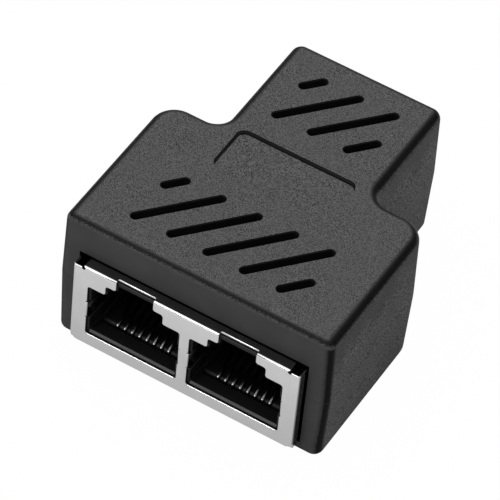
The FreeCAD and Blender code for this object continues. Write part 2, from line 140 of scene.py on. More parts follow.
def mixed(tree, factor, first, second):
    return node(tree, "ShaderNodeMix", {"Factor": factor, "A": first, "B": second},
                data_type="RGBA").outputs["Result"]


def vector(tree, x=0.0, y=0.0, z=0.0):
    return node(tree, "ShaderNodeCombineXYZ", {"X": x, "Y": y, "Z": z}).outputs["Vector"]


def split(tree, source):
    return node(tree, "ShaderNodeSeparateXYZ", {"Vector": source}).outputs


def object_place(tree):
    return node(tree, "ShaderNodeTexCoord").outputs["Object"]


def facing(tree):
    return split(tree, node(tree, "ShaderNodeNewGeometry").outputs["Normal"])


def noise(tree, place, scale, detail):
    return node(tree, "ShaderNodeTexNoise", {"Vector": place, "Scale": scale,
                                             "Detail": detail},
                noise_dimensions="3D").outputs["Fac"]


def grey(tone):
    return (tone, tone, tone, 1)


def material(name, terms=None):
    made = bpy.data.materials.new(name)
    made.use_nodes = True
    tree = made.node_tree
    shader = tree.nodes["Principled BSDF"]
    fill(tree, shader, terms or {})
    return made, tree, shader


def new_group(name, inputs, outputs):
    group = bpy.data.node_groups.new(name, "ShaderNodeTree")
    for label, default in inputs.items():
        socket = group.interface.new_socket(label, in_out="INPUT",
                                            socket_type="NodeSocketFloat")
        socket.default_value = default
    for label in outputs:
        group.interface.new_socket(label, in_out="OUTPUT", socket_type="NodeSocketFloat")
    given = group.nodes.new("NodeGroupInput").outputs
    return group, given, group.nodes.new("NodeGroupOutput")


def moulded_grain_group():
    # Pits and grains that spark erosion leaves in a mould, coarse over fine
    group, given, out = new_group(
        "moulded_grain", {"Coarse": 7500.0, "Fine": 14000.0, "Fine Share": 0.3},
        ["Grain", "Cloud"])
    place = object_place(group)
    coarse, fine = (noise(group, place, given[label], 0.5) for label in ("Coarse", "Fine"))
    total = value(group, "ADD", coarse,
                  value(group, "MULTIPLY", fine, given["Fine Share"]))
    grain = value(group, "DIVIDE", total, value(group, "ADD", given["Fine Share"], 1.0))
    fill(group, out, {"Grain": ramp_between(group, grain, 0.32, 0.68),
                      "Cloud": noise(group, place, 260.0, 3.0)})
    return group


def rolled_metal_group():
    # Fine parallel marks of rolling, which follow the sheet round its folds, with a few soft
    # stains over them, and a mask of the faces turned to the sides, top and bottom for
    # painted shade
    group, given, out = new_group(
        "rolled_metal", {"Line Scale": 5000.0, "Stretch": 0.02},
        ["Lines", "Stain", "Side"])
    place = object_place(group)
    x, y, z = split(group, place)
    facing_x, facing_y, facing_z = facing(group)
    side = ramp_between(group, value(group, "ABSOLUTE", facing_x), 0.5, 0.9)
    top = ramp_between(group, value(group, "ABSOLUTE", facing_z), 0.85, 0.98)
    stretched = vector(group, value(group, "MULTIPLY_ADD", y, side, x),
                       value(group, "MULTIPLY", y, given["Stretch"]),
                       value(group, "MULTIPLY", z, given["Stretch"]))
    fill(group, out, {"Side": value(group, "MAXIMUM", side, top),
                      "Lines": noise(group, stretched, given["Line Scale"], 2.0),
                      "Stain": noise(group, place, 320.0, 4.0)})
    return group


grain_group = moulded_grain_group()
rolled_group = rolled_metal_group()

# Tones of the housing: pits and tops of the grain, its worn patches, the painted shade high
# on the sides, the smoother socket faces and the painted shade on the rounded edges
grain_low, grain_high, cloud_tone = grey(0.019), grey(0.137), grey(0.079)
# The sides' grain runs lighter than the top's: painted light that makes up for the weaker
# light on them
side_low, side_high, side_shade_tone = grey(0.018), grey(0.202), grey(0.038)
end_low, end_high, edge_shade_tone = grey(0.060), grey(0.070), grey(0.002)

# Where the painted shade bands on the rounded edges rise and fall, as sines of a face's lean
# from level, and how dark they get: along the sides, and next to the socket faces
side_shade_band = {"rise": (0.0, 0.44), "most": 0.95, "fall": (0.82, 0.98)}
end_shade_band = {"rise": (0.08, 0.46), "most": 0.88, "fall": (0.62, 0.86)}
# Distance from the middle, in metres, over which the painted shade on the upright corners
# sets in
corner_shade_band = (-front_face * mm - 0.0014, -front_face * mm - 0.0012)
# From this height up, in metres, the sides get darker: painted shade, broken up by the
# clouds
shade_height, shade_slope = 0.0155, 70.0
housing_rough, edge_rough = 0.58, 0.42


def grouped(tree, group, **values):
    terms = {label.replace("_", " "): number for label, number in values.items()}
    return node(tree, "ShaderNodeGroup", terms, node_tree=group).outputs


def bumped(tree, shader, height, strength, distance):
    bump = node(tree, "ShaderNodeBump",
                {"Strength": strength, "Distance": distance, "Height": height})
    fill(tree, shader, {"Normal": bump.outputs["Normal"]})


def edge_shade_mask(tree, up, along, grain):
    # Masks the painted shade on the rounded edges between the level and the upright faces,
    # going by the sine of a face's lean from level, which is kept just over 0 for a division
    level = value(tree, "SQRT", value(tree, "MULTIPLY_ADD", value(
        tree, "MULTIPLY", up, up), -0.9999, 1.0))
    # A little of the grain makes the edges of the bands ragged
    ragged = value(tree, "MULTIPLY", value(tree, "SUBTRACT", grain, 0.5),
                   value(tree, "MULTIPLY_ADD", level, 0.5, 0.12))
    leant = value(tree, "ADD", level, value(tree, "MULTIPLY", ragged, value(
        tree, "SUBTRACT", 1.0, level)))
    ended = value(tree, "DIVIDE", along, level)

    def limit(at_sides, at_ends):
        return value(tree, "MULTIPLY_ADD", ended, at_ends - at_sides, at_sides)

    rise = ramp_between(tree, leant, *map(limit, side_shade_band["rise"], end_shade_band["rise"]),
                        0.0, limit(side_shade_band["most"], end_shade_band["most"]), "LINEAR")
    fall = ramp_between(tree, leant, *map(limit, side_shade_band["fall"], end_shade_band["fall"]),
                        1.0, 0.0)
    return value(tree, "MULTIPLY", rise, fall)


def corner_shade_mask(tree, up, along, depth):
    # Masks the painted shade on the upright corners next to the socket faces
    at_end = ramp_between(tree, depth, *corner_shade_band)
    turned = value(tree, "MULTIPLY", ramp_between(tree, along, 0.0, 0.45),
                   ramp_between(tree, along, 0.72, 1.0, 1.0, 0.0))
    steep = ramp_between(tree, up, 0.1, 0.4, 1.0, 0.0)
    return value(tree, "MULTIPLY", value(tree, "MULTIPLY", at_end, steep), turned)


def textured_housing():
    # Dark grey plastic, grained on top and sides, smooth and with painted shade where the
    # edges are rounded, and smoother across the socket faces
    made, tree, shader = material("housing_grained", {"Specular IOR Level": 0.06})
    texture = grouped(tree, grain_group)
    grain, cloud = texture["Grain"], texture["Cloud"]
    facing_x, facing_y, facing_z = facing(tree)
    up, along = value(tree, "ABSOLUTE", facing_z), value(tree, "ABSOLUTE", facing_y)
    x, y, z = split(tree, object_place(tree))
    shaded_smooth_edges = value(tree, "MAXIMUM", edge_shade_mask(tree, up, along, grain),
                        corner_shade_mask(tree, up, along, value(tree, "ABSOLUTE", y)))
    end_face = ramp_between(tree, along, 0.75, 0.95)
    side_grain = grouped(tree, grain_group, Coarse=6000.0, Fine=11000.0)["Grain"]
    # Painted shade darkens the sides towards their top, in cloudy patches
    high = value(tree, "MULTIPLY_ADD", z, shade_slope, -shade_height * shade_slope)
    high_shade = ramp_between(tree, value(tree, "ADD", cloud, high), 0.35, 0.75, 0.0, 0.5)
    side = mixed(tree, high_shade, mixed(tree, side_grain, side_low, side_high), side_shade_tone)
    mottled = mixed(tree, ramp_between(tree, up, 0.3, 0.8), side,
                    mixed(tree, grain, grain_low, grain_high))
    clouded = mixed(tree, ramp_between(tree, cloud, 0.3, 0.7, 0.0, 0.3), mottled,
                    cloud_tone)
    plain = mixed(tree, ramp_between(tree, cloud, 0.3, 0.7), end_low, end_high)
    flat = mixed(tree, end_face, clouded, plain)
    smooth = value(tree, "MAXIMUM", shaded_smooth_edges, end_face)
    # The rounded edges get a near black colour, painted shade, and a smoother gloss
    fill(tree, shader, {
        "Base Color": mixed(tree, shaded_smooth_edges, flat, edge_shade_tone),
        "Roughness": value(tree, "MULTIPLY_ADD", shaded_smooth_edges, edge_rough - housing_rough,
                           housing_rough)})
    bumped(tree, shader, value(tree, "MULTIPLY", grain,
                               value(tree, "SUBTRACT", 1.0, smooth)), 0.4, 0.00003)
    return made


def smooth_housing():
    # Walls of the vents, of the panel and inside the housing: much darker than the outside,
    # partly their smoother finish and partly painted shade in these recesses
    made, tree, shader = material("housing_inner", {"Roughness": 0.5,
                                                    "Specular IOR Level": 0.03})
    texture = grouped(tree, grain_group, Coarse=3000.0)
    fill(tree, shader, {"Base Color": mixed(tree, texture["Cloud"], grey(0.005),
                                            grey(0.011))})
    bumped(tree, shader, texture["Grain"], 0.1, 0.00002)
    return made


def socket_plastic(name, tilted_light_tone, top_tone):
    # Smooth black moulding, its tones painted by which way a face looks: painted light on
    # faces tilted between level and upright, and level and front faces a little darker than
    # the walls
    made, tree, shader = material(name, {"Specular IOR Level": 0.15})
    texture = grouped(tree, grain_group, Coarse=4000.0)
    facing_x, facing_y, facing_z = facing(tree)
    up = value(tree, "ABSOLUTE", facing_z)
    # Tones by facing are painted light: tilted faces paler, level and front faces a little
    # darker
    edge = value(tree, "MULTIPLY", ramp_between(tree, up, 0.3, 0.6),
                 ramp_between(tree, up, 0.8, 0.97, 1.0, 0.0))
    flat = value(tree, "MAXIMUM", up, value(tree, "ABSOLUTE", facing_y))
    body = mixed(tree, ramp_between(tree, flat, 0.9, 1.0), grey(0.014), grey(top_tone))
    fill(tree, shader, {
        "Base Color": mixed(tree, edge, body, grey(tilted_light_tone)),
        "Roughness": ramp_between(tree, texture["Cloud"], 0.2, 0.8, 0.34, 0.46)})
    bumped(tree, shader, texture["Grain"], 0.06, 0.00002)
    return made


def shield_metal():
    # Bright tin plate, with painted shade on the faces turned to the sides, top and bottom
    made, tree, shader = material("shield_tin", {"Metallic": 1.0})
    rolled = grouped(tree, rolled_group)
    tone = ramp_between(tree, rolled["Stain"], 0.3, 0.7)
    face = mixed(tree, tone, grey(0.82), grey(0.86))
    lined = mixed(tree, ramp_between(tree, rolled["Lines"], 0.3, 0.7, 0.0, 0.12),
                  face, grey(0.74))
    fill(tree, shader, {
        "Base Color": mixed(tree, rolled["Side"], lined, grey(0.28)),
        "Roughness": ramp_between(tree, rolled["Lines"], 0.25, 0.75, 0.10, 0.15)})
    bumped(tree, shader, rolled["Lines"], 0.05, 0.00001)
    return made


def contact_metal():
    # Brighter plating round the noses than on the legs behind them, as contacts are plated
    # there, with painted shade making both very dark inside the socket, the legs most
    made, tree, shader = material("contact_plating", {"Metallic": 1.0})
    rolled = grouped(tree, rolled_group, Line_Scale=5000.0, Stretch=1.0)
    tone = ramp_between(tree, rolled["Stain"], 0.3, 0.7)
    x, y, z = split(tree, object_place(tree))
    nose = ramp_between(tree, value(tree, "ABSOLUTE", y), 0.0181, 0.0190)
    legs_in_shade = mixed(tree, tone, grey(0.026), grey(0.034))
    noses_in_shade = mixed(tree, tone, grey(0.13), grey(0.15))
    fill(tree, shader, {
        "Base Color": mixed(tree, nose, legs_in_shade, noses_in_shade),
        "Roughness": ramp_between(tree, rolled["Lines"], 0.25, 0.75, 0.10, 0.16)})
    return made


def board_laminate():
    # Solder mask over a glass weave, with the bare laminate at the edges
    made, tree, shader = material("board_mask")
    weave = node(tree, "ShaderNodeTexBrick", {
        "Vector": object_place(tree), "Scale": 900.0, "Color1": (0.010, 0.075, 0.030, 1),
        "Color2": (0.012, 0.090, 0.036, 1), "Mortar": (0.016, 0.110, 0.045, 1)},
        offset=0.5)
    facing_x, facing_y, facing_z = facing(tree)
    flat = ramp_between(tree, value(tree, "ABSOLUTE", facing_z), 0.6, 0.9)
    fill(tree, shader, {
        "Base Color": mixed(tree, flat, (0.20, 0.17, 0.09, 1), weave.outputs["Color"]),
        "Roughness": value(tree, "MULTIPLY_ADD", flat, -0.35, 0.7)})
    return made


grained = textured_housing()
inner = smooth_housing()
black = socket_plastic("socket_black", 0.10, 0.010)
insert_black = socket_plastic("insert_black", 0.016, 0.010)
tin = shield_metal()
plating = contact_metal()
laminate = board_laminate()


# Mesh helpers, all in millimetres until a piece is finished


def added(name, data):
    made = bpy.data.objects.new(name, data)
    bpy.context.scene.collection.objects.link(made)
    return made


@contextlib.contextmanager
def edited(mesh):
    shape = bmesh.new()
    shape.from_mesh(mesh)
    yield shape
    shape.to_mesh(mesh)
    shape.free()


def mesh_object(name, points, faces, surface):
    mesh = bpy.data.meshes.new(name)
    mesh.from_pydata(points, [], faces)
    with edited(mesh) as shape:
        bmesh.ops.recalc_face_normals(shape, faces=shape.faces)
    mesh.materials.append(surface)
    return added(name, mesh)


def marked(target, label, numbers):
    mark = target.data.attributes.new(label, "FLOAT", "POINT")
    mark.data.foreach_set("value", numbers)
    return target


def walls(ring, levels):
    # Faces between rings of points that lie one over the other
    faces = []
    for start in range(0, (levels - 1) * ring, ring):
        for i in range(ring):
            following = (i + 1) % ring
            faces.append((start + i, start + following,
                          start + ring + following, start + ring + i))
    return faces


def caps(ring, levels):
    top = (levels - 1) * ring
    return [tuple(range(ring))[::-1], tuple(range(top, top + ring))]


def prism(name, loop, low, high, surface):
    points = [(x, y, level) for level in (low, high) for x, y in loop]
    return mesh_object(name, points, caps(len(loop), 2) + walls(len(loop), 2), surface)


def upright(name, loop, low, high, surface):
    # As prism, for a loop of (x, z) that runs along y
    made = prism(name, [(x, -z) for x, z in loop], low, high, surface)
    made.data.transform(Matrix.Rotation(math.radians(-90), 4, "X"))
    return made


def block(name, x0, x1, y0, y1, z0, z1, surface):
    return prism(name, [(x0, y0), (x1, y0), (x1, y1), (x0, y1)], z0, z1, surface)


def applied(target):
    depsgraph = bpy.context.evaluated_depsgraph_get()
    mesh = bpy.data.meshes.new_from_object(target.evaluated_get(depsgraph))
    target.modifiers.clear()
    old = target.data
    target.data = mesh
    mesh.name = target.name
    bpy.data.meshes.remove(old)


def changed(target, kind, **settings):
    change = target.modifiers.new("change", kind)
    for key, setting in settings.items():
        setattr(change, key, setting)
    applied(target)


def combined(target, tools, operation):
    # Joins or cuts with the tools, which keep their own surface where they cut
    for tool in tools:
        changed(target, "BOOLEAN", operation=operation, solver="EXACT",
                material_mode="TRANSFER", object=tool)
    for tool in tools:
        bpy.data.objects.remove(tool)
    return target


def cleaned(target):
    with edited(target.data) as shape:
        bmesh.ops.remove_doubles(shape, verts=shape.verts, dist=0.002)
        bmesh.ops.dissolve_limit(shape, angle_limit=math.radians(0.3), verts=shape.verts,
                                 edges=shape.edges, delimit={"MATERIAL"})


def sealed(target):
    # Fills the slivers that joining leaves open between nearly parallel edges
    with edited(target.data) as shape:
        bmesh.ops.holes_fill(shape, sides=4,
                             edges=[edge for edge in shape.edges if edge.is_boundary])


def weighted(target, spared):
    # Marks the sharp edges for the rounding, but not those that spared() names
    with edited(target.data) as shape:
        layer = shape.edges.layers.float.new("bevel_weight_edge")
        for edge in shape.edges:
            sharp = len(edge.link_faces) == 2 and edge.calc_face_angle() > sharp_angle
            edge[layer] = float(sharp and not all(spared(end.co) for end in edge.verts))


def rounded(target, width, segments, spared=None):
    if spared:
        weighted(target, spared)
    changed(target, "BEVEL", width=width, segments=segments,
            limit_method="WEIGHT" if spared else "ANGLE", angle_limit=sharp_angle,
            use_clamp_overlap=False, miter_outer="MITER_ARC", harden_normals=False)


def finished(target, nodes):
    # Size in metres, smooth shading between sharp edges, then its place in the frame
    target.data.transform(Matrix.Scale(mm, 4))
    target.data.polygons.foreach_set("use_smooth", [True] * len(target.data.polygons))
    target.data.set_sharp_from_angle(angle=crease_angle)
    changed(target, "WEIGHTED_NORMAL", keep_sharp=True, weight=80)
    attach(target, "root")
    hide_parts(*nodes)


# Housing


def corner(centre, radius, start, end, hollow=False, steps=12):
    # Stations round a corner: x, y and the outward direction
    stations = []
    side = -1 if hollow else 1
    for i in range(steps + 1 if radius > 0 else 1):
        share = i / steps if radius > 0 else 0.5
        angle = math.radians(start + (end - start) * share)
        across, along = math.cos(angle), math.sin(angle)
        stations.append((centre[0] + radius * across, centre[1] + radius * along,
                         side * across, side * along))
    return stations


def round_box(half_x, half_y, radius, steps, middle=0.0):
    # Stations round a rectangle with round corners
    stations = []
    for side_x, side_y, start in ((1, -1, -90), (1, 1, 0), (-1, 1, 90), (-1, -1, 180)):
        centre = (side_x * (half_x - radius), middle + side_y * (half_y - radius))
        stations += corner(centre, radius, start, start + 90, steps=steps)
    return stations


def plan(inset, front_inset, radii=None):
    # Stations round the T-shaped housing, seen from above
    half_block = block_width / 2 - inset
    half_neck = neck_width / 2 - inset
    front = front_face + front_inset
    shoulder = front_face + shoulder_depth - inset
    rear = rear_face - inset
    if radii is None:
        radii = (front_corner, shoulder_corner - inset, throat_corner + inset,
                 rear_corner - inset)
    at_front, at_shoulder, at_throat, at_rear = radii
    right = corner((half_block - at_front, front + at_front), at_front, -90, 0)
    right += corner((half_block - at_shoulder, shoulder - at_shoulder),
                    at_shoulder, 0, 90, steps=18)
    right += corner((half_neck + at_throat, shoulder + at_throat),
                    at_throat, 270, 180, hollow=True, steps=18)
    right += corner((half_neck - at_rear, rear - at_rear), at_rear, 0, 90)
    left = [(-x, y, -across, along) for x, y, across, along in reversed(right)]
    return right + left


def loop_of(stations):
    return [(x, y) for x, y, across, along in stations]


def inside_form(name, inset, wall, low, high):
    # The housing's plan moved inwards, with sharp corners at its two ends
    radii = (0, shoulder_corner - wall, throat_corner + wall, 0)
    return prism(name, loop_of(plan(inset, wall, radii)), low, high, inner)


def cavity(low, high):
    return inside_form("cavity", cavity_inset, side_wall, low, high)


def drafted_form(name, end_height, end_inset, side_radius, front_radius):
    # Closed form from the parting plane to the top or the base, with draft on
    # its sides and a fillet whose radius changes round the two front corners
    span = abs(end_height - parting_height)
    rise = 1 if end_height > parting_height else -1
    rows = []
    for at_wide, at_narrow in zip(plan(0, 0), plan(end_inset, 0)):
        outward = Vector((at_wide[2], at_wide[3]))
        foot, edge = Vector(at_wide[:2]), Vector(at_narrow[:2])
        slope = (edge - foot) / span
        lean = math.atan(-slope.dot(outward))
        turn = math.degrees(math.atan2(abs(outward.x), -outward.y)) / 90
        radius = front_radius + (side_radius - front_radius) * min(turn, 1.0)
        row = []
        for pulled, height in ((parting_edge, 0.0), (parting_edge * 0.3, parting_edge * 0.3),
                               (0.0, parting_edge)):
            place = foot + slope * height - outward * pulled
            row.append((place.x, place.y, parting_height + rise * height))
        reach = radius * (1 - math.sin(lean)) / math.cos(lean)
        centre = edge - outward * reach
        for i in range(edge_steps + 1):
            angle = lean + (math.pi / 2 - lean) * i / edge_steps
            place = centre + outward * radius * math.cos(angle)
            height = end_height - rise * radius * (1 - math.sin(angle))
            row.append((place.x, place.y, height))
        rows.append(row)
    count, depth = len(rows), len(rows[0])
    points = [point for row in rows for point in row]
    faces = []
    for i in range(count):
        following = (i + 1) % count
        for k in range(depth - 1):
            faces.append((i * depth + k, following * depth + k,
                          following * depth + k + 1, i * depth + k + 1))
    for level in (0, depth - 1):
        faces.append(tuple(i * depth + level for i in range(count)))
    return mesh_object(name, points, faces, grained)


def windows():
    # Openings in the two ends for the sockets
    top = board_bottom + window_gap
    made = []
    for width, face in ((twin_width, front_face), (single_width, rear_face)):
        half = width / 2 + window_gap
        outside = math.copysign(past, face)
        y0, y1 = sorted((face + outside, face - math.copysign(cavity_inset + past, face)))
        made.append(block("window", -half, half, y0, y1, floor_thickness, top, inner))
    return made


def slot_form():
    # One vent with no straight part yet: its two round ends carry "end" -1 and 1,
    # and its rim is broken by a small chamfer
    levels = [(-vent_depth, 0.0), (-vent_rim, 0.0), (0.0, vent_rim),
              (vent_above, vent_rim)]
    points, ends, steps = [], [], 10
    for height, spread in levels:
        radius = vent_width / 2 + spread
        for end, start in ((1.0, -90), (-1.0, 90)):
            for i in range(steps + 1):
                angle = math.radians(start + 180 * i / steps)
                points.append((radius * math.cos(angle), radius * math.sin(angle), height))
                ends.append(end)
    ring = len(points) // len(levels)
    faces = walls(ring, len(levels)) + caps(ring, len(levels))
    return marked(mesh_object("vents", points, faces, inner), "end", ends)


def geometry_tree(name, *numbers):
    # A tree that takes a form, a count, the named numbers and a material
    tree = bpy.data.node_groups.new(name, "GeometryNodeTree")
    kinds = {"Geometry": "Geometry", "Count": "Int"}
    kinds.update({label: "Float" for label in numbers}, Material="Material")
    for label, kind in kinds.items():
        tree.interface.new_socket(label, in_out="INPUT", socket_type="NodeSocket" + kind)
    tree.interface.new_socket("Geometry", in_out="OUTPUT",
                              socket_type="NodeSocketGeometry")
    return tree, tree.nodes.new("NodeGroupInput").outputs


def with_nodes(target, tree, values):
    change = target.modifiers.new("repeat", "NODES")
    change.node_group = tree
    for item in tree.interface.items_tree:
        if item.item_type == "SOCKET" and item.in_out == "INPUT" and item.name in values:
            change[item.identifier] = values[item.name]
    applied(target)
    return target


def own_value(tree, label):
    return node(tree, "GeometryNodeInputNamedAttribute", {"Name": label},
                data_type="FLOAT").outputs["Attribute"]


def copied_row(tree, given, spot, turn, label, kept):
    # Copies of the form at the spots, each with its own value under the label
    line = node(tree, "GeometryNodeMeshLine", {"Count": given["Count"]})
    stored = node(tree, "GeometryNodeStoreNamedAttribute", {
        "Geometry": line.outputs["Mesh"], "Name": label, "Value": kept},
        data_type="FLOAT", domain="POINT")
    moved = node(tree, "GeometryNodeSetPosition", {
        "Geometry": stored.outputs["Geometry"], "Position": spot})
    copies = node(tree, "GeometryNodeInstanceOnPoints", {
        "Points": moved.outputs["Geometry"], "Instance": given["Geometry"],
        "Rotation": turn})
    return node(tree, "GeometryNodeRealizeInstances", {
        "Geometry": copies.outputs["Instances"]}).outputs["Geometry"]


def pulled_out(tree, given, copies, shift):
    # Shifts the marked ends of the copies and coats them
    moved = node(tree, "GeometryNodeSetPosition", {"Geometry": copies, "Offset": shift})
    coated = node(tree, "GeometryNodeSetMaterial", {
        "Geometry": moved.outputs["Geometry"], "Material": given["Material"]})
    node(tree, "NodeGroupOutput", {"Geometry": coated.outputs["Geometry"]})


def vent_tree():
    # A row of parallel slots, each cut off at the sides of its field
    tree, given = geometry_tree("vent_row", "Pitch", "First", "Width", "Left", "Right",
                                "Start", "Length", "Angle", "Surface")
    index = node(tree, "GeometryNodeInputIndex").outputs[0]
    place = value(tree, "MULTIPLY_ADD", index, given["Pitch"], given["First"])
    slope = value(tree, "TANGENT", given["Angle"])
    lean = value(tree, "DIVIDE", given["Length"], slope)
    inside = value(tree, "ADD", place, given["Left"])
    whole = value(tree, "GREATER_THAN", value(tree, "ADD", inside, given["Width"]), 0.0)
    left = value(tree, "SUBTRACT", value(tree, "MULTIPLY", inside, whole), given["Left"])
    right = value(tree, "MINIMUM", value(tree, "ADD", place, lean), given["Right"])
    middle = value(tree, "MULTIPLY", value(tree, "ADD", left, right), 0.5)
    along = value(tree, "MULTIPLY_ADD", value(tree, "SUBTRACT", middle, place), slope,
                  given["Start"])
    cosine = value(tree, "COSINE", given["Angle"])
    half_span = value(tree, "MULTIPLY", value(tree, "SUBTRACT", right, left), 0.5)
    run = value(tree, "DIVIDE", half_span, cosine)
    copies = copied_row(tree, given, vector(tree, middle, along, given["Surface"]),
                        vector(tree, z=given["Angle"]), "run", run)
    reach = value(tree, "MULTIPLY", own_value(tree, "end"), own_value(tree, "run"))
    sine = value(tree, "SINE", given["Angle"])
    pulled_out(tree, given, copies, vector(tree, value(tree, "MULTIPLY", reach, cosine),
                                           value(tree, "MULTIPLY", reach, sine)))
    return tree


def vents(tree, field):
    slope = math.tan(math.radians(vent_angle))
    lean = field["length"] / slope
    first, left_reach, right_reach = field["first"], field["left"], field["right"]
    place = first - vent_pitch * math.ceil((first + left_reach + lean) / vent_pitch)
    places = []
    while place < right_reach:
        left = place if place > -left_reach - vent_width else -left_reach
        width = min(place + lean, right_reach) - left
        if width / math.cos(math.radians(vent_angle)) > vent_width:
            places.append(place)
        place += vent_pitch
    return with_nodes(slot_form(), tree, {
        "Count": len(places), "Pitch": vent_pitch, "First": places[0],
        "Width": vent_width, "Left": left_reach, "Right": right_reach,
        "Start": front_face + field["start"], "Length": field["length"],
        "Angle": math.radians(vent_angle), "Surface": housing_height, "Material": inner})


def panel():
    # Shallow recess whose walls slope more at the back than in front
    half_x, half_y = panel_width / 2, panel_length / 2
    middle = front_face + panel_start + half_y
    points = []
    for height, spread in panel_profile:
        for x, y, across, along in round_box(half_x, half_y, panel_corner, 8, middle):
            turned = max(0.0, along - 0.6 * across)
            rim = spread * min(panel_rim + panel_far_rim * turned, panel_far_rim)
            points.append((x + across * rim, y + along * rim, housing_height + height))
    levels = len(panel_profile)
    ring = len(points) // levels
    # The walls take the inner colour, painted shade in the recess, and the floor the grained
    # one
    made = mesh_object("panel", points, walls(ring, levels) + caps(ring, levels), inner)
    made.data.materials.append(grained)
    for face in made.data.polygons:
        if face.normal.z < -0.99:
            face.material_index = 1
    return made


def pillars(places, low, high):
    half = pillar_side / 2
    return [block("pillar", side * x - half, side * x + half,
                  front_face + depth - half, front_face + depth + half, low, high, inner)
            for x, depth in places for side in (-1, 1)]


def upper_shell():
    shell = drafted_form("upper_shell_moulding", housing_height, top_inset, side_edge,
                         front_edge)
    groove_inset = tongue_inset - tongue_clearance
    tree = vent_tree()
    cutters = [cavity(parting_height - past, ceiling),
               inside_form("groove", groove_inset, groove_inset, parting_height - past,
                           parting_height + tongue_height + tongue_clearance)]
    cutters += windows() + [panel(), vents(tree, front_vents), vents(tree, rear_vents)]
    combined(shell, cutters, "DIFFERENCE")
    combined(shell, pillars(board_pillars, board_top, ceiling + past / 2), "UNION")
    cleaned(shell)
    finished(shell, ["upper_shell"])


def lower_shell():
    shell = drafted_form("lower_shell_moulding", 0.0, base_inset, base_edge, base_edge)
    tongue = inside_form("tongue", tongue_inset, tongue_inset, parting_height - past / 2,
                         parting_height + tongue_height)
    combined(shell, [tongue], "UNION")
    combined(shell, [cavity(floor_thickness, parting_height + 2 * past)] + windows(),
             "DIFFERENCE")
    combined(shell, pillars([middle_pillar], floor_thickness - past / 2, board_bottom),
             "UNION")
    cleaned(shell)
    finished(shell, ["lower_shell"])


# Sockets: x across, y from the face of the shield inwards, z up from its underside


def seated(target, end):
    # Moves a socket's piece to the front or the rear end of the housing
    if end == "rear":
        target.data.transform(Matrix.Rotation(math.pi, 4, "Z"))
    place = rear_face + shield_protrusion
    target.data.transform(Matrix.Translation(
        (0, place if end == "rear" else -place, floor_thickness)))


def keyed_loop(port):
    # Front view of a mouth with small radii at its corners
    half, step, latch = mouth_width / 2, step_width / 2, latch_width / 2
    bend, right = mouth_corner, []
    for x, z, start, hollow in ((half - bend, mouth_bottom + bend, -90, False),
                                (half - bend, mouth_top - bend, 0, False),
                                (step + bend, mouth_top + bend, 270, True),
                                (step - bend, step_top - bend, 0, False),
                                (latch + bend, step_top + bend, 270, True)):
        end = start - 90 if hollow else start + 90
        right += loop_of(corner((x, z), bend, start, end, hollow, 5))
    right.append((latch, shield_height + past))
    return [(port + x, z) for x, z in right] + [(port - x, z) for x, z in reversed(right)]


def finger(port, side):
    # Earthing spring drawn in plan: out of the plate, round its bend and inwards
    half, bend = sheet / 2 - pressed_in, finger_bend
    corner_x, corner_y = mouth_width / 2 + finger_set_back, sheet / 2
    tip_x, tip_y = mouth_width / 2 - finger_lean, finger_length
    lean = math.atan((corner_x - tip_x) / (tip_y - corner_y))
    turn = math.pi / 2 - lean
    centre_x = corner_x + bend * math.tan(turn / 2)
    stations = [(mouth_width / 2 + 3 * sheet, corner_y, 0.0)]
    for i in range(9):
        angle = turn * i / 8
        stations.append((centre_x - bend * math.sin(angle),
                         corner_y + bend - bend * math.cos(angle), angle))
    for i in range(6):
        angle = turn + 2 * lean * i / 5
        reach = tip_step * (i - 1)
        stations.append((tip_x - reach * math.cos(angle), tip_y + reach * math.sin(angle),
                         angle))
    outer, back = [[(x - depth * math.sin(a), y - depth * math.cos(a))
                    for x, y, a in stations] for depth in (half, -half)]
    loop = [(port + side * x, y) for x, y in outer + back[::-1]]
    made = prism("finger", loop, finger_bottom, finger_bottom + finger_height, tin)
    rounded(made, finger_edge, 2)
    return made


def folded_hull(name, width):
    # The folded box with true bends along its four front edges
    half = width / 2
    hull = block(name, -half, half, 0, jack_depth, 0, shield_height, tin)
    with edited(hull.data) as shape:
        folds = [edge for edge in shape.edges
                 if all(abs(vert.co.y) < 1e-6 for vert in edge.verts)]
        bmesh.ops.bevel(shape, geom=folds, offset=fold, offset_type="OFFSET", segments=8,
                        profile=0.5, affect="EDGES", clamp_overlap=True)
    hollow = block("hollow", -half + sheet, half - sheet, sheet, jack_depth - sheet,
                   sheet, shield_height - sheet, tin)
    return combined(hull, [hollow], "DIFFERENCE")


def corner_cutters(half, side):
    # A flange's relief with its round end, and the cut bottom corner
    relief, outer, edge = side * (half - flange_end_gap), side * (half + past), side * half
    low, high = sorted((relief, outer))
    hole = [(relief + relief_radius * math.cos(math.radians(turn)),
             fold_line + relief_radius * math.sin(math.radians(turn)))
            for turn in range(0, 360, 15)]
    wedge = [(edge + side, -past), (edge - side * (corner_chamfer + past), -past),
             (edge + side, corner_chamfer + past)]
    return [block("relief", low, high, -past, flange_length, fold_line,
                  shield_height + past, tin),
            upright("hole", hole, -past / 2, sheet + past / 2, tin),
            upright("wedge", wedge, -past, fold, tin)]


def mouth_cutters(port):
    # A keyed mouth with the slot for the latch and the notches of the springs
    half = latch_width / 2
    cutters = [upright("mouth", keyed_loop(port), -past, sheet + past_sheet, tin),
               block("latch", port - half, port + half, -past, latch_setback,
                     step_top + past, shield_height + past, tin)]
    for side in (-1, 1):
        edge = port + side * mouth_width / 2
        low, high = sorted((edge - side * past_sheet, edge + side * finger_notch))
        cutters.append(block("notch", low, high, -past, sheet + past_sheet,
                             finger_bottom - finger_slit,
                             finger_bottom + finger_height + finger_slit, tin))
    return cutters


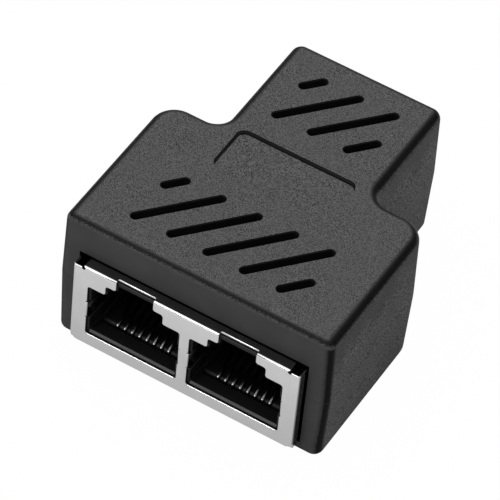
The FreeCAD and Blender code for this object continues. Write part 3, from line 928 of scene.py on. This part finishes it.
def shield(end, width, ports):
    half = width / 2
    metal = folded_hull(end + "_shield_folded", width)
    cutters = [block("open", -half + sheet, half - sheet, flange_length,
                     jack_depth - sheet, sheet, shield_height + past, tin)]
    for side in (-1, 1):
        cutters += corner_cutters(half, side)
    for port in ports:
        cutters += mouth_cutters(port)
    combined(metal, cutters, "DIFFERENCE")
    cleaned(metal)

    def at_relief_hole(point):
        away = math.hypot(abs(point.x) - half + flange_end_gap, point.z - fold_line)
        return away < relief_radius * 1.05

    rounded(metal, punched_edge, 3, spared=at_relief_hole)
    extras = []
    for side in (-1, 1):
        low, high = sorted((side * (half - pressed_in), side * (half - sheet + pressed_in)))
        extras.append(block("tab", low, high, tab_place - tab_width / 2,
                            tab_place + tab_width / 2, shield_height - past, tab_top, tin))
    extras += [finger(port, side) for port in ports for side in (-1, 1)]
    combined(metal, extras, "UNION")
    sealed(metal)
    seated(metal, end)
    finished(metal, [end + "_shield"])


def softened(node_name, name, surface, width, segments):
    # A copy of the drawing's piece with its moulded edges rounded
    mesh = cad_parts[node_name].data.copy()
    mesh.materials.clear()
    mesh.materials.append(surface)
    mesh.transform(Matrix.Scale(1 / mm, 4))
    with edited(mesh) as shape:
        bmesh.ops.remove_doubles(shape, verts=shape.verts, dist=0.0005)
        bmesh.ops.dissolve_limit(shape, angle_limit=math.radians(1), verts=shape.verts,
                                 edges=shape.edges)
        for face in shape.faces:
            face.material_index = 0
    made = added(name, mesh)
    rounded(made, width, segments)
    finished(made, [node_name])


# Contacts


def contact_path():
    # Stations of y, z and direction from the tail's end down, forwards, round the
    # nose and up at an angle
    rise = math.radians(rise_angle)
    path = [(tail_row, z, -math.pi / 2) for z in (tail_end, run_height + tail_foot)]
    for i in range(7):
        swept = math.pi / 2 * i / 6
        path.append((tail_row - tail_bend + tail_bend * math.cos(swept),
                     run_height + tail_bend - tail_bend * math.sin(swept),
                     -math.pi / 2 - swept))
    for i in range(17):
        swept = (math.pi - rise) * i / 16
        path.append((nose_place - nose_radius * math.sin(swept),
                     run_height + nose_radius - nose_radius * math.cos(swept),
                     math.pi - swept))
    last_y, last_z, angle = path[-1]
    run = (end_place - last_y) / math.cos(rise)
    path.append((last_y + run * math.cos(rise), last_z + run * math.sin(rise), rise))
    return path


def contact_form(name):
    # Sweeps the section along the path; the tail is marked, to be set back later
    section = loop_of(round_box(contact_width / 2, contact_thickness / 2, contact_edge, 4))
    path = contact_path()
    points = [(across, y - depth * math.sin(angle), z + depth * math.cos(angle))
              for y, z, angle in path for across, depth in section]
    ring, levels = len(section), len(path)
    made = mesh_object(name, points, walls(ring, levels) + caps(ring, levels), plating)
    return marked(made, "tail", [
        float(y > tail_row - tail_reach or (y > tail_row - run_reach and z < run_top))
        for x, y, z in points])


def contact_tree():
    # A row of contacts whose tails stand in two staggered rows
    tree, given = geometry_tree("contact_row", "Pitch", "Middle", "Tail Step")
    index = node(tree, "GeometryNodeInputIndex").outputs[0]
    last = value(tree, "SUBTRACT", given["Count"], 1.0)
    first = value(tree, "MULTIPLY", value(tree, "MULTIPLY", last, given["Pitch"]), -0.5)
    start = value(tree, "ADD", first, given["Middle"])
    place = value(tree, "MULTIPLY_ADD", index, given["Pitch"], start)
    copies = copied_row(tree, given, vector(tree, place), vector(tree), "row",
                        value(tree, "MODULO", index, 2.0))
    tail = value(tree, "MULTIPLY", own_value(tree, "tail"), own_value(tree, "row"))
    pulled_out(tree, given, copies,
               vector(tree, y=value(tree, "MULTIPLY", tail, given["Tail Step"])))
    return tree


def contact_row(tree, where, port):
    row = with_nodes(contact_form("contacts_" + where), tree, {
        "Count": contact_count, "Pitch": contact_pitch, "Middle": port,
        "Tail Step": tail_row_pitch, "Material": plating})
    seated(row, where)
    finished(row, [f"contact_{where}_{i + 1}" for i in range(contact_count)])


upper_shell()
lower_shell()
ports_at = {"left": -port_pitch / 2, "right": port_pitch / 2, "rear": 0.0}
shield("front", twin_width, [ports_at["left"], ports_at["right"]])
shield("rear", single_width, [ports_at["rear"]])
for end in ("front", "rear"):
    softened(end + "_jack_body", end + "_jack_moulding", black, jack_edge, 2)
for where in ports_at:
    carrier = "contact_carrier_" + where
    softened(carrier, carrier + "_moulding", insert_black, carrier_edge, 1)
softened("circuit_board", "circuit_board_laminate", laminate, board_edge, 1)
row_tree = contact_tree()
for where, port in ports_at.items():
    contact_row(row_tree, where, port)


# Studio, in metres

# Half side, drop under the part, and share of even white in what the camera sees
floor_half, floor_drop, floor_share = 1.5, 0.00002, 0.985
# Brightness of the painted shadow on the floor, as reflections see it, at the part's edges
# and its rise over each metre from there
beside_part = {"tone": 0.1, "slope": 20.0, "edge": 0.0184}
before_part = {"tone": 0.5, "slope": 13.5, "edge": 0.0220}
ring_radius, ring_height, ring_steps = 0.4, 0.25, 48


def seen_by_camera(tree):
    path = node(tree, "ShaderNodeLightPath").outputs
    seen = value(tree, "MAXIMUM", path["Is Camera Ray"], path["Is Glossy Ray"])
    return value(tree, "MAXIMUM", seen, path["Is Transmission Ray"])


def shadow_tone(tree, distance, side):
    return value(tree, "MULTIPLY_ADD", value(tree, "ABSOLUTE", distance), side["slope"],
                 side["tone"] - side["edge"] * side["slope"])


def studio_floor():
    surface, tree, shader = material("floor_white", {
        "Base Color": grey(0.9), "Roughness": 0.9, "Specular IOR Level": 0.0})
    half = floor_half
    floor = mesh_object("floor", [(-half, -half, -floor_drop), (half, -half, -floor_drop),
                                  (half, half, -floor_drop), (-half, half, -floor_drop)],
                        [(0, 1, 2, 3)], surface)
    # Close to the part, reflections see a painted shadow of it on the floor
    x, y, z = split(tree, object_place(tree))
    painted_shadow = value(tree, "MAXIMUM", shadow_tone(tree, x, beside_part),
                       shadow_tone(tree, y, before_part))
    camera = node(tree, "ShaderNodeLightPath").outputs["Is Camera Ray"]
    strength = value(tree, "MINIMUM", value(tree, "MAXIMUM", painted_shadow, camera), 1.0)
    white = node(tree, "ShaderNodeEmission", {"Strength": strength})
    mix = node(tree, "ShaderNodeMixShader", {
        "Fac": value(tree, "MULTIPLY", seen_by_camera(tree), floor_share),
        1: shader.outputs["BSDF"], 2: white.outputs["Emission"]})
    fill(tree, tree.nodes["Material Output"], {"Surface": mix.outputs["Shader"]})


def black_flags():
    # A low dark ring out of the camera's sight draws the dark lines on round edges
    turns = [2 * math.pi * i / ring_steps for i in range(ring_steps)]
    points = [(ring_radius * math.cos(turn), ring_radius * math.sin(turn), height)
              for height in (0.0, ring_height) for turn in turns]
    surface, tree, shader = material("flag_black", {
        "Base Color": grey(0.01), "Roughness": 1.0, "Specular IOR Level": 0.0})
    ring = mesh_object("flags", points, walls(ring_steps, 2), surface)
    ring.visible_camera = False
    ring.visible_shadow = False


def softbox(name, place, side, power):
    lamp = bpy.data.lights.new(name, "AREA")
    lamp.size, lamp.energy = side, power
    made = added(name, lamp)
    made.location = place
    direction = Vector((0, 0, 0.01)) - Vector(place)
    made.rotation_euler = direction.to_track_quat("-Z", "Y").to_euler()


def world_light():
    world = bpy.data.worlds.new("studio")
    bpy.context.scene.world = world
    world.use_nodes = True
    tree = world.node_tree
    strength = value(tree, "MULTIPLY_ADD", seen_by_camera(tree), 0.3, 0.7)
    fill(tree, tree.nodes["Background"], {"Strength": strength, "Color": grey(1)})


def photo_camera():
    angle, height, roll = camera_angle, camera_height, camera_roll
    back = Vector((math.sin(angle) * math.cos(height), -math.cos(angle) * math.cos(height),
                   math.sin(height)))
    level = (-back).cross(Vector((0, 0, 1))).normalized()
    upright_axis = level.cross(-back)
    right = level * math.cos(roll) + upright_axis * math.sin(roll)
    up = -level * math.sin(roll) + upright_axis * math.cos(roll)
    place = (Vector(camera_target) + right * camera_focus[0] + up * camera_focus[1]
             + back * camera_focus[2])
    lens = bpy.data.cameras.new("camera")
    lens.lens, lens.sensor_width = camera_lens, 36.0
    lens.clip_start, lens.clip_end = 0.01, 10.0
    made = added("camera", lens)
    turned = Matrix((right, up, back)).transposed().to_4x4()
    made.matrix_world = Matrix.Translation(place * mm) @ turned
    bpy.context.scene.camera = made


studio_floor()
black_flags()
world_light()
softbox("overhead", (-0.12, 0.14, 0.42), 0.6, 1.55)
softbox("front_fill", (-0.35, -0.87, 0.7), 0.35, 2.4)
photo_camera()
bpy.context.scene.view_settings.view_transform = "Standard"
